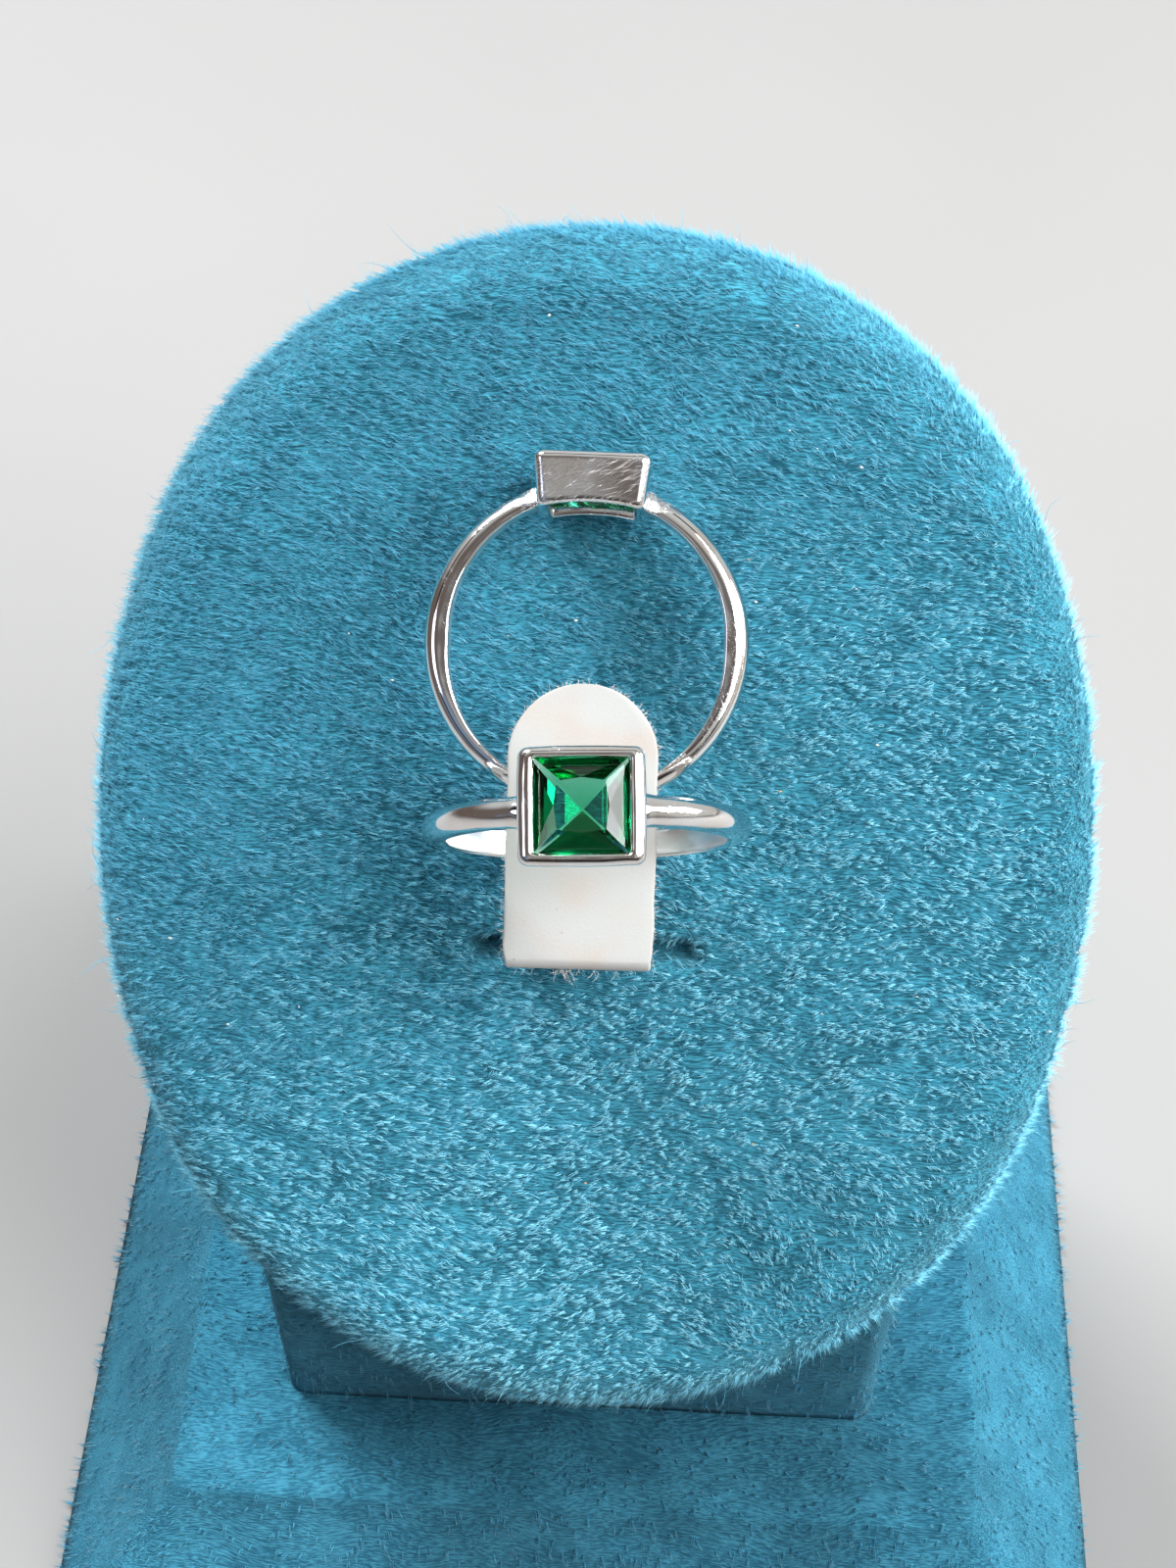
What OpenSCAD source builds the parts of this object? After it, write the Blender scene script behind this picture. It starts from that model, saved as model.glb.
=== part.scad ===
// Pair of toe rings on a display stand.
// The origin is the middle of the base's underside, +Z is up, and the slanted pad faces -Y.

/* [Base] */
// Side of the square foot where it meets the table
base_foot_w = 76; // [70:1:84]
// Side of the square top of the foot
base_top_w = 57.5; // [50:0.5:64]
// Height of the foot
base_h = 12; // [8:1:16]

/* [Neck] */
// Width of the square post between foot and pad
neck_w = 42; // [38:0.5:46]
// Depth of the post from front to back
neck_d = 36; // [30:1:40]
// How far the front of the post stands ahead of the origin
neck_front = 21; // [19:0.5:23]

/* [Pad] */
// Width of the oval pad
pad_w = 60.8; // [56:0.2:66]
// Length of the oval pad along its slope
pad_l = 73.2; // [68:0.2:78]
// Thickness of the pad
pad_t = 7; // [6:0.5:9]
// Slope of the pad's face above the horizontal, in degrees
pad_tilt = 48; // [42:1:52]
// Turn of the glued oval on its post, in degrees
pad_turn = 0.9; // [-2:0.1:2]
// Height of the middle of the pad's face
pad_mid_z = 57.2; // [54:0.2:60]
// How far the middle of the pad's face stands ahead of the origin
pad_mid_front = 5; // [3:0.5:7]
// Radius of the soft front shoulder
pad_front_r = 4; // [3:0.5:4.5]
// Radius of the back edge
pad_back_r = 2; // [1:0.5:2.5]

/* [Tab] */
// Width of the tab that carries the rings
tab_w = 8.3; // [7.5:0.1:9]
// Thickness of the tab
tab_t = 0.55; // [0.4:0.05:0.7]
// Height of the tab's face from its fold to its round top
tab_l = 15.8; // [15:0.1:17]
// Outer radius of the tab's fold
tab_fold_r = 0.6; // [0.6:0.05:1.2]
// Length of the tab's leg from its face to the pad
tab_leg = 10.1; // [10:0.1:10.8]
// How far the leg goes into the pad
tab_root = 4; // [3:0.5:5]
// Lean of the tab's face towards the pad, in degrees
tab_lean = 10.6; // [10:0.2:11.4]
// Turn of the tab on the pad, in degrees
tab_turn = 0.8; // [-2:0.1:2]
// Sideways place of the tab on the pad
tab_x = -0.2; // [-1:0.05:1]
// Place along the slope of the lower end of the tab's face, from the pad's middle
tab_low = -4.35; // [-5:0.05:-4]

/* [Rings] */
// Inner diameter of a ring across the toe
ring_bore = 15.4; // [14.8:0.1:15.8]
// How much longer the bore is from bezel to back than across
bore_stretch = 0.95; // [0.6:0.05:1]
// How far the middle of the bore lies below the middle of the shank's outside
bore_drop = 0.12; // [0:0.02:0.2]
// Width of the shank along the toe
shank_w = 1.65; // [1.4:0.05:1.9]
// Thickness of the shank at its sides, from its flat inside to its crown
shank_t = 1.4; // [1.3:0.05:1.6]
// Outer width of the bezel across the toe
bezel_w = 6.5; // [6.3:0.1:6.8]
// Outer width of the bezel along the toe
bezel_d = 6.1; // [5.9:0.1:6.4]
// How much narrower the bezel's foot is
bezel_taper = 0.9; // [0.6:0.05:1]
// Distance from the ring's middle to the middle of the bezel's hollow underside
bezel_sole = 7.55; // [7.4:0.05:7.8]
// Radius of the hollow underside
bezel_sole_r = 11.8; // [9:0.1:14]
// Slope worked round the bezel's rim
rim_slope = 0.4; // [0.2:0.05:0.5]
// Distance from the ring's middle to the bezel's rim
bezel_rim = 10.35; // [10.1:0.05:10.6]
// Square opening in the rim
bezel_open = 4.85; // [4.7:0.05:5]
// Square opening below the stone
bezel_back_open = 4.7; // [4.5:0.1:4.8]

/* [Stones] */
// Width of a stone at its girdle
stone_w = 5.2; // [5.1:0.05:5.4]
// Width of a stone's table
stone_table = 3.0; // [2.6:0.1:3.4]
// Height of the crown above the girdle
stone_crown = 0.6; // [0.4:0.05:0.7]
// Thickness of the girdle
stone_girdle = 0.12; // [0.08:0.02:0.2]
// Depth of the point below the girdle
stone_point = 2.05; // [1.8:0.05:2.3]
// How far the table lies below the bezel's rim
stone_sunk = 0.05; // [0:0.05:0.2]

/* [Places of the rings] */
// Sideways place of the upright ring on the pad
upright_x = 0; // [-1:0.1:1]
// Place of the upright ring's middle along the slope
upright_along = 3.3; // [3:0.05:3.5]
// Height of the upright ring's middle above the pad
upright_high = 8.75; // [8.7:0.05:9]
// Lean of the upright ring up the slope, in degrees
upright_lean = 18.5; // [17:0.5:20]
// Turn of the upright ring on the pad, in degrees
upright_turn = 3; // [-6:0.5:6]
// Sideways place of the leaning ring on the pad
leaning_x = -0.5; // [-1:0.1:1]
// Place of the leaning ring's middle along the slope
leaning_along = 13.15; // [13:0.05:13.4]
// Height of the leaning ring's middle above the pad
leaning_high = 5.1; // [5.05:0.05:5.2]
// Slope of the leaning ring towards the pad, in degrees
leaning_lean = 12; // [11:0.25:12.5]

/* [Hidden] */

$fn = 96;
seat = 0.05;                                  // clearance between glued or set pieces
slot_l = 12.5;                                // length of the slit in the pad
slot_slack = 0.12;                            // clearance on each side of the leg in the slit
neck_top_z = pad_mid_z + 40;                  // height of the post before its slanted cut
// the pad's oval is four arcs, which meet on lines of slope 5 to 12 through their middles
arc_step = (pad_l - pad_w) / 8;
end_middle = 5 * arc_step;                    // distance of each end arc's middle from the pad's
side_middle = 12 * arc_step;                  // distance of each side arc's middle from the pad's
end_r = pad_l / 2 - end_middle;
side_r = pad_w / 2 + side_middle;
wedge = 6 * [12, 5];                          // reach of a sector past its arc
bore_r = ring_bore / 2;
dome_r = shank_w / 2;                         // the crown of the shank is a half round
bezel_foot = bore_r - 1.2;                    // the foot lies below the hollow that is cut from it
bezel_shoulder = bezel_rim - 0.5;             // where the slope round the rim begins
girdle_z = bezel_rim - stone_sunk - stone_crown - stone_girdle / 2;
groove_over = 0.4;                            // reach of the setting's groove above the girdle
groove_under = 0.6;                           // reach of the groove below the girdle

// Moves its children to the pad's face: X across, Y up the slope, Z away from the pad
module on_pad() {
    translate([0, -pad_mid_front, pad_mid_z]) rotate([pad_tilt, 0, 0]) children();
}

// Block from one rectangle to a smaller or larger one, as [across, along] widths at foot and top
module tapered_block(foot, top, height) {
    module slope(a, b) {
        rotate([90, 0, 0]) linear_extrude(4 * (foot.x + top.x), center = true)
            polygon([[-a / 2, 0], [a / 2, 0], [b / 2, height], [-b / 2, height]]);
    }
    intersection() {
        slope(foot.x, top.x);
        rotate([0, 0, 90]) slope(foot.y, top.y);
    }
}

module stand_base() {
    color([0.24, 0.50, 0.60]) tapered_block([base_foot_w, base_foot_w], [base_top_w, base_top_w], base_h);
}

// Square post, cut off along the back of the pad
module stand_neck() {
    color([0.20, 0.44, 0.54]) difference() {
        translate([-neck_w / 2, -neck_front, base_h + seat])
            cube([neck_w, neck_d, neck_top_z - base_h]);
        on_pad() translate([-pad_l, -2 * pad_l, -pad_t - seat]) cube([2 * pad_l, 4 * pad_l, 2 * pad_l]);
    }
}

// Disc of radius r with a soft front shoulder and a rounded back edge
module soft_disc(r) {
    // what a quarter round of the given radius takes off a square corner
    module off_corner(radius) {
        difference() {
            square(2 * radius);
            circle(radius);
        }
    }
    rotate_extrude() difference() {
        translate([0, -pad_t]) square([r, pad_t]);
        translate([r - pad_front_r, -pad_front_r]) off_corner(pad_front_r);
        translate([r - pad_back_r, pad_back_r - pad_t]) mirror([0, 1]) off_corner(pad_back_r);
    }
}

// Sector of such a disc between two rays from its middle
module pad_sector(middle, r, ray, other_ray) {
    translate(middle) intersection() {
        soft_disc(r);
        translate([0, 0, -2 * pad_t]) linear_extrude(3 * pad_t) polygon([[0, 0], ray, other_ray]);
    }
}

// Padded oval of four arcs with a slit for the tab's leg
module stand_pad() {
    color([0.24, 0.52, 0.62]) on_pad() difference() {
        rotate([0, 0, pad_turn]) for (side = [-1, 1]) {
            pad_sector([-side * side_middle, 0], side_r, side * [wedge.x, -wedge.y], side * wedge);
            pad_sector([0, side * end_middle], end_r, side * wedge, side * [-wedge.x, wedge.y]);
        }
        tab_frame() translate([-slot_l / 2, -slot_slack, -tab_leg - tab_root - slot_slack])
            cube([slot_l, tab_t + 2 * slot_slack, tab_leg + tab_root]);
    }
}

// Moves its children to the tab: X across, Y up its face, Z out of its face
module tab_frame() {
    translate([tab_x, tab_low, tab_leg / cos(tab_lean)]) rotate([-tab_lean, 0, tab_turn]) children();
}

// Side view of the tab: its face, its fold and its leg
module tab_side() {
    translate([tab_fold_r, -tab_t]) square([tab_l - tab_fold_r, tab_t]);
    translate([0, -tab_leg - tab_root]) square([tab_t, tab_leg + tab_root - tab_fold_r]);
    translate([tab_fold_r, -tab_fold_r]) intersection() {
        difference() {
            circle(tab_fold_r);
            circle(tab_fold_r - tab_t);
        }
        translate([-2 * tab_fold_r, 0]) square(2 * tab_fold_r);
    }
}

// Folded tab with a round top
module ring_tab() {
    color([0.90, 0.89, 0.87]) on_pad() tab_frame() intersection() {
        rotate([90, 0, 90]) linear_extrude(tab_w, center = true) tab_side();
        translate([0, 0, -tab_leg - tab_root - 1]) linear_extrude(tab_leg + tab_root + 2) {
            translate([-tab_w / 2, -1]) square([tab_w, tab_l - tab_w / 2 + 1]);
            translate([0, tab_l - tab_w / 2]) circle(d = tab_w);
        }
    }
}

// Cutter for the bore: two round ends drawn apart, running along Y
module bore() {
    half = bore_stretch / 2;
    rotate([90, 0, 0]) linear_extrude(3 * bezel_w, center = true) {
        for (side = [-1, 1]) translate([0, side * half - bore_drop]) circle(bore_r);
        translate([-bore_r, -half - bore_drop]) square([2 * bore_r, bore_stretch]);
    }
}

// Outside of the bezel: a box that widens from its foot, with a slope worked round its rim
module bezel_block() {
    wide = [bezel_w, bezel_d];
    translate([0, 0, bezel_foot])
        tapered_block([for (w = wide) w - bezel_taper], wide, bezel_shoulder - bezel_foot);
    translate([0, 0, bezel_shoulder])
        tapered_block(wide, [for (w = wide) w - 2 * rim_slope], bezel_rim - bezel_shoulder);
}

// Ring with its axis along Y and its bezel on top: a domed shank and an open-backed bezel, whose underside
// is hollowed in a flatter curve than the bore
module toe_ring() {
    color([0.82, 0.83, 0.85]) difference() {
        union() {
            difference() {
                rotate([90, 0, 0]) rotate_extrude() translate([bore_r - 1, 0]) {
                    translate([0, -shank_w / 2]) square([1 + shank_t - dome_r, shank_w]);
                    translate([1 + shank_t - dome_r, 0]) circle(dome_r);
                }
                bore();
            }
            difference() {
                bezel_block();
                translate([0, 0, bezel_sole - bezel_sole_r]) rotate([90, 0, 0])
                    cylinder(3 * bezel_w, bezel_sole_r, bezel_sole_r, center = true);
            }
        }
        // opening in the rim, groove round the girdle, and open back
        translate([0, 0, bezel_rim]) cube([bezel_open, bezel_open, 2 * stone_crown], center = true);
        translate([0, 0, girdle_z - groove_under]) linear_extrude(groove_over + groove_under)
            square(stone_w + 2 * seat, center = true);
        linear_extrude(girdle_z) square(bezel_back_open, center = true);
    }
}

// Square stone with a table, a faceted crown, a girdle and a pavilion of chevrons down to a point
module stone() {
    g = stone_w / 2;
    t = stone_table / 2;
    bulge = 0.22;                             // how far the table's sides swell out
    crown_mid = g - 0.42;                     // reach of the point where a side's crown facets meet
    crown_mid_z = 0.55 * stone_crown;
    gz = stone_girdle / 2;
    // chevron tips on the middle line of each side, as [part of the depth, part of the half width]
    chevrons = [[0.30, 0.82], [0.58, 0.52], [0.82, 0.23]];
    per_side = 8;
    function turn(p, k) = [p.x * cos(90 * k) - p.y * sin(90 * k), p.x * sin(90 * k) + p.y * cos(90 * k), p.z];
    function side_points(k) = [for (p = [
        [g, g, gz], [g, g, -gz], [t, t, gz + stone_crown], [0, t + bulge, gz + stone_crown],
        [0, crown_mid, gz + crown_mid_z],
        for (c = chevrons) [0, g * c[1], -gz - stone_point * c[0]]
    ]) turn(p, k)];
    points = [for (k = [0 : 3]) each side_points(k), [0, 0, -gz - stone_point]];
    culet = 4 * per_side;
    // Faces of one side, from its first point a and the next side's first point n: the points are
    // the corner over and under the girdle, the table's corner and middle, the crown's middle, and the tips
    function side_faces(a, n) = [
        [a, a + 4, n], [a, a + 2, a + 4], [a + 4, a + 2, a + 3], [a + 4, n + 2, n], [a + 4, a + 3, n + 2],
        [a, n, n + 1, a + 1],
        [a + 1, n + 1, a + 5],
        [a + 1, a + 5, a + 6], [n + 1, a + 6, a + 5],
        [a + 1, a + 6, a + 7], [n + 1, a + 7, a + 6],
        [a + 1, a + 7, culet], [n + 1, culet, a + 7]
    ];
    faces = [
        for (k = [0 : 3]) each side_faces(k * per_side, ((k + 1) % 4) * per_side),
        [for (k = [3 : -1 : 0]) each [k * per_side + 3, k * per_side + 2]]
    ];
    color([0.05, 0.45, 0.28]) translate([0, 0, girdle_z]) polyhedron(points, faces);
}

module upright_place() {
    on_pad() translate([upright_x, upright_along, upright_high])
        rotate([-upright_lean, 0, 0]) rotate([0, 0, upright_turn]) children();
}

module leaning_place() {
    on_pad() translate([leaning_x, leaning_along, leaning_high]) rotate([-90 - leaning_lean, 0, 0]) children();
}

module upright_ring() { upright_place() toe_ring(); }
module upright_stone() { upright_place() stone(); }
module leaning_ring() { leaning_place() toe_ring(); }
module leaning_stone() { leaning_place() stone(); }

stand_base();
stand_neck();
stand_pad();
ring_tab();
upright_ring();
upright_stone();
leaning_ring();
leaning_stone();
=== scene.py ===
"""Pair of toe rings on a velvet display stand. Sizes are in millimetres until a mesh is made."""

import bpy
import numpy as np
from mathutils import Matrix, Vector


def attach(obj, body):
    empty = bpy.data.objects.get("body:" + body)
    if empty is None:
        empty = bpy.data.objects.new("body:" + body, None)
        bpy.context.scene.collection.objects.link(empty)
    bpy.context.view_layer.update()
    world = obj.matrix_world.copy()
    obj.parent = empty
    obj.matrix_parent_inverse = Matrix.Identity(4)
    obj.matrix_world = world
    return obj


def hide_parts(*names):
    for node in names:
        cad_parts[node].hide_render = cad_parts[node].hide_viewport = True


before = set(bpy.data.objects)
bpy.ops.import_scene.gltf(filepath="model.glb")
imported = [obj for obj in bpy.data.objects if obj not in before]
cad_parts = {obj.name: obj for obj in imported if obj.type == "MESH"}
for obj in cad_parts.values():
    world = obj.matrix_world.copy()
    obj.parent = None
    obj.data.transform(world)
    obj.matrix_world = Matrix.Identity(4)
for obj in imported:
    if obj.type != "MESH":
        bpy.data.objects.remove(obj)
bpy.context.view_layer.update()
MM = 0.001


# Sizes of the stand
BASE_FOOT, BASE_TOP, BASE_H = 76.0, 57.5, 12.0
NECK_W, NECK_FRONT, NECK_BACK = 42.0, -21.0, 15.0
PAD_W, PAD_L, PAD_T = 60.8, 73.2, 7.0
PAD_TILT = np.radians(48)
PAD_TURN = np.radians(0.9)
PAD_MIDDLE = np.array([0, -5, 57.2])
SHOULDER, BACK_EDGE = 4.0, 2.0
FOOT_CORNER, TOP_CORNER, NECK_CORNER = 1.6, 1.4, 1.5
TOP_EDGE = 0.9
SKIN = 0.32  # depth of the backing cloth under the tips of the pile
POLE_HALF = 0.02  # half size of a row that is drawn together into one point

# Sizes of the tab, in its own frame: X across, Y up its face, Z out of its face
TAB_W, TAB_T, TAB_L = 8.3, 0.55, 15.8
FOLD_R, TAB_LEG, TAB_ROOT = 0.6, 10.1, 3.6
TAB_LEAN, TAB_TURN = np.radians(10.6), np.radians(0.8)
TAB_PLACE = (-0.2, -4.35, TAB_LEG / np.cos(TAB_LEAN))
TAB_EDGE_R = 0.16
# Where the leg enters the pad
SLIT = (TAB_PLACE[0], TAB_PLACE[1] - TAB_PLACE[2] * np.tan(TAB_LEAN) + TAB_T / 2)
SLIT_HALF, SLIT_DEPTH, SLIT_SOFTNESS = 6.25, 2.2, 0.55

# Sizes of a ring, in its own frame: its axis is Y and its bezel is on +Z
BORE_R, BORE_HALF, BORE_DROP = 7.7, 0.475, 0.12
SHANK_R, SHANK_W = 9.1, 1.65
SHANK_START, SHANK_EDGE_R = np.radians(19.2), 0.16
BEZEL_FOOT_Z, BEZEL_SHOULDER_Z, BEZEL_RIM_Z = 6.5, 9.85, 10.35
BEZEL_HALF, BEZEL_TAPER = np.array([3.25, 3.05]), 0.45
BEZEL_CORNER, RIDGE_CORNER = 0.55, 0.3
WALL_SWELL = 0.07
SOLE, SOLE_R = 7.55, 11.8
OPENING, GROOVE, BACK_OPENING = 2.425, 2.65, 2.35
RIDGE = 0.72  # where the rim is highest, as a share of its width from outside
GROOVE_Z = (9.04, 10.04)
STONE_HALF, STONE_CROWN, STONE_DEPTH, STONE_CORNER = 2.6, 0.6, 2.05, 0.08
TABLE_HALF, TABLE_MIDDLE = 1.25, 1.43
GIRDLE, GIRDLE_Z = 0.12, 9.64

# Places of the rings on the pad, as across, up the slope and away from the face
UPRIGHT_PLACE, UPRIGHT_TURN, UPRIGHT_LEAN = np.array([0, 3.3, 8.75]), np.radians(3), np.radians(-18.5)
LEANING_PLACE, LEANING_LEAN = np.array([-0.5, 13.15, 5.1]), np.radians(-102)


def turned(points, axis, angle):
    """Points turned about a main axis (0, 1 or 2) by an angle, by the right-hand rule."""
    a, b = [(1, 2), (2, 0), (0, 1)][axis]
    out = np.array(points, float)
    c, s = np.cos(angle), np.sin(angle)
    out[..., a] = c * points[..., a] - s * points[..., b]
    out[..., b] = s * points[..., a] + c * points[..., b]
    return out


def unit(vectors):
    """The same directions with a length of 1."""
    return vectors / np.linalg.norm(vectors, axis=-1, keepdims=True)


def on_pad(points):
    """Points given as across, up the slope and away from the face, in the frame of the whole stand."""
    return turned(points, 0, PAD_TILT) + PAD_MIDDLE


def on_tab(points):
    """Points of the tab's own frame: turned a little, leant towards the pad and put on it."""
    return on_pad(turned(turned(points, 2, TAB_TURN), 0, -TAB_LEAN) + np.array(TAB_PLACE))


def place_upright(points):
    """Points of the front ring's own frame: turned a little, leant up the slope and stood on the pad."""
    return on_pad(turned(turned(points, 2, UPRIGHT_TURN), 0, UPRIGHT_LEAN) + UPRIGHT_PLACE)


def place_leaning(points):
    """Points of the rear ring's own frame: laid against the pad with its bezel up the slope."""
    return on_pad(turned(points, 0, LEANING_LEAN) + LEANING_PLACE)


LATTICE = 32


def drift(points, step, seed, size=3):
    """Smooth noise of several values a point: random numbers on a lattice of that step, blended between its
    eight nearest nodes with a smooth weight."""
    table = np.random.default_rng(seed).uniform(-1, 1, (LATTICE, LATTICE, LATTICE, size))
    at = points / step
    cell = np.floor(at).astype(int)
    share = at - cell
    share = share * share * (3 - 2 * share)
    out = np.zeros((*points.shape[:-1], size))
    for corner in np.ndindex(2, 2, 2):
        node = (cell + corner) % LATTICE
        weight = np.where(corner, share, 1 - share).prod(-1)[..., None]
        out += weight * table[node[..., 0], node[..., 1], node[..., 2]]
    return out


def smooth_step(x, low, high):
    """0 below low, 1 above high, and a smooth ramp between them."""
    t = np.clip((x - low) / (high - low), 0, 1)
    return t * t * (3 - 2 * t)


def grid_faces(rows, cols, closed_rows=False):
    """Quads of a grid whose columns go round, and whose rows may go round too."""
    r = np.arange(rows if closed_rows else rows - 1)[:, None]
    c = np.arange(cols)[None, :]
    nr, nc = (r + 1) % rows, (c + 1) % cols
    quads = np.stack([r * cols + c, r * cols + nc, nr * cols + nc, nr * cols + c], -1)
    return quads.reshape(-1, 4)


def outward(points, faces):
    """The faces of a closed skin, turned round if their signed volume, the sum of each corner fan's
    a . (b x c), is negative."""
    fans = np.array([(f[0], f[k], f[k + 1]) for f in faces for k in range(1, len(f) - 1)])
    a, b, c = (points[fans[:, k]] for k in range(3))
    return [tuple(f)[::-1] for f in faces] if (a * np.cross(b, c)).sum() < 0 else faces


def new_object(name, data):
    """A new object of the scene."""
    made = bpy.data.objects.new(name, data)
    bpy.context.scene.collection.objects.link(made)
    return made


def piece(name, points, faces, finishes, slot, which=None):
    """A smooth mesh object from points in millimetres, with its finishes, riding on the stand. which gives
    the number of each face's finish."""
    mesh = bpy.data.meshes.new(name)
    mesh.from_pydata((np.asarray(points) * MM).tolist(), [], [list(f) for f in faces])
    mesh.update()
    mesh.polygons.foreach_set("use_smooth", np.ones(len(mesh.polygons), bool))
    for finish in finishes:
        mesh.materials.append(finish)
    if which is not None:
        mesh.polygons.foreach_set("material_index", np.asarray(which, np.int32))
    made = new_object(name, mesh)
    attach(made, "root")
    return made


def repeated(skin, step, count):
    """The faces of a small skin for each of many copies of its points, which follow on each other."""
    return [tuple(v + k * step for v in f) for k in range(count) for f in skin]


def tube_faces(rows, cols):
    """Faces of rows that go round, closed by triangles to two more points, before the first row and after
    the last."""
    before, end = rows * cols, (rows - 1) * cols
    pairs = [(k, (k + 1) % cols) for k in range(cols)]
    faces = [tuple(q) for q in grid_faces(rows, cols)]
    faces += [(before, b, a) for a, b in pairs]
    return faces + [(before + 1, end + a, end + b) for a, b in pairs]


def lathe_like(rows):
    """Points and faces of a closed skin: rows of points from one pole to the other, each row going round.
    The first and last rows are drawn together into one point at their mean."""
    poles = np.array([rows[0].mean(0), rows[-1].mean(0)])
    points = np.vstack([rows[1:-1].reshape(-1, 3), poles])
    return points, outward(points, tube_faces(len(rows) - 2, rows.shape[1]))


def closed_tube(rows):
    """Points and faces of a closed skin: rows of points, and a point in the middle of each end row."""
    ends = np.broadcast_to(rows.mean(1, keepdims=True), rows.shape)
    return lathe_like(np.concatenate([ends[:1], rows, ends[-1:]]))


def rounded_square(per_side, per_corner):
    """Places round a square with round corners: for each, where it lies on the unit square and the
    direction of its normal. A point is (half size - corner) * place + corner * normal."""
    along = np.linspace(-1, 1, per_side, endpoint=False)
    bend = np.linspace(0, np.pi / 2, per_corner, endpoint=False)
    spot = np.vstack([np.column_stack([np.ones(per_side), along]), np.ones((per_corner, 2))])
    place, normal = [], []
    for k in range(4):
        angles = np.concatenate([np.zeros(per_side), bend]) + k * np.pi / 2
        c, s = round(np.cos(k * np.pi / 2)), round(np.sin(k * np.pi / 2))
        place.append(spot @ np.array([[c, s], [-s, c]]))
        normal.append(np.column_stack([np.cos(angles), np.sin(angles)]))
    return np.vstack(place), np.vstack(normal)


# Finishes
class Wire:
    """An output of a shader node, on which plain maths can be written."""

    def __init__(self, finish, socket):
        self.finish = finish
        self.socket = socket

    def maths(self, operation, first, second):
        """The output of a maths node on two numbers, each a wire or a plain value."""
        return self.finish.node("ShaderNodeMath", {"operation": operation}, {0: first, 1: second})

    def __add__(self, other):
        return self.maths("ADD", self, other)

    def __rsub__(self, other):
        return self.maths("SUBTRACT", other, self)

    def __mul__(self, other):
        return self.maths("MULTIPLY", self, other)

    __radd__ = __add__
    __rmul__ = __mul__


class Finish:
    """Shader nodes in the making, of a new material with one Principled shader or of the world."""

    def __init__(self, name, world=None):
        self.material = world or bpy.data.materials.new(name)
        self.material.use_nodes = True
        self.tree = self.material.node_tree
        self.shader = self.tree.nodes["Background" if world else "Principled BSDF"]

    def node(self, kind, settings=None, sockets=None, out=0):
        """Adds a node of that kind, sets it up, fills or links its sockets, and gives one of its outputs."""
        made = self.tree.nodes.new(kind)
        for key, value in (settings or {}).items():
            setattr(made, key, value)
        self.fill(made, sockets or {})
        return Wire(self, made.outputs[out])

    def fill(self, made, sockets):
        """Sets each named or numbered input of a node to a value, or links it."""
        for key, value in sockets.items():
            if isinstance(value, Wire):
                self.tree.links.new(value.socket, made.inputs[key])
            else:
                made.inputs[key].default_value = value

    def millimetres(self, stretch=(1, 1, 1), turn=(0, 0, 0)):
        """The place on the piece, in millimetres, turned and then stretched."""
        place = self.node("ShaderNodeTexCoord", out="Object")
        scale = tuple(1000 * s for s in stretch)
        turned_place = self.node("ShaderNodeMapping", None, {"Vector": place, "Rotation": turn})
        return self.stretched(turned_place, scale)

    def stretched(self, place, scale):
        """A place with each of its three numbers multiplied by one of the scale's."""
        return self.node("ShaderNodeVectorMath", {"operation": "MULTIPLY"}, {0: place, 1: scale})

    def noise(self, place, scale, detail=2.0, roughness=0.5):
        """Cloudy noise from 0 to 1, with that many bumps a millimetre."""
        sockets = {"Vector": place, "Scale": scale, "Detail": detail, "Roughness": roughness}
        return self.node("ShaderNodeTexNoise", None, sockets, "Fac")

    def kept(self, name):
        """A number kept on the piece's points."""
        return self.node("ShaderNodeAttribute", {"attribute_name": name}, None, "Fac")

    def between(self, value, low, high):
        """0 where the value is below low, 1 above high."""
        sockets = {"Value": value, "From Min": low, "From Max": high}
        return self.node("ShaderNodeMapRange", {"interpolation_type": "SMOOTHSTEP"}, sockets)

    def mixed(self, share, first, second):
        """One colour passing into another."""
        return self.node("ShaderNodeMix", {"data_type": "RGBA"}, {0: share, 6: first, 7: second}, 2)

    def bump(self, height, depth, **more):
        """A normal from a height from 0 to 1 that is that many millimetres deep."""
        sockets = {"Height": height, "Distance": depth * MM, "Strength": 1.0, **more}
        return self.node("ShaderNodeBump", None, sockets)

    def done(self, **sockets):
        """The finished material, with the shader's sockets given as words joined by underscores."""
        self.fill(self.shader, {key.replace("_", " "): value for key, value in sockets.items()})
        return self.material


VELVET_DEEP, VELVET_MID = (0.012, 0.10, 0.15), (0.06, 0.34, 0.47)
SOFT_DEEP, SOFT_MID = (0.020, 0.145, 0.235), (0.066, 0.33, 0.48)
FIBRE_DARK, FIBRE_LIGHT = np.array([0.024, 0.18, 0.30]), np.array([0.33, 0.83, 1.0])
PAINTED_SHADE_SHARE = 0.45  # share of the backing's colour that is left in the painted shade
TONES = 9


def dye(colour, shade=1.0):
    """A colour for a socket, with that share of its light."""
    return (*(shade * np.array(colour)), 1)


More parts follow.
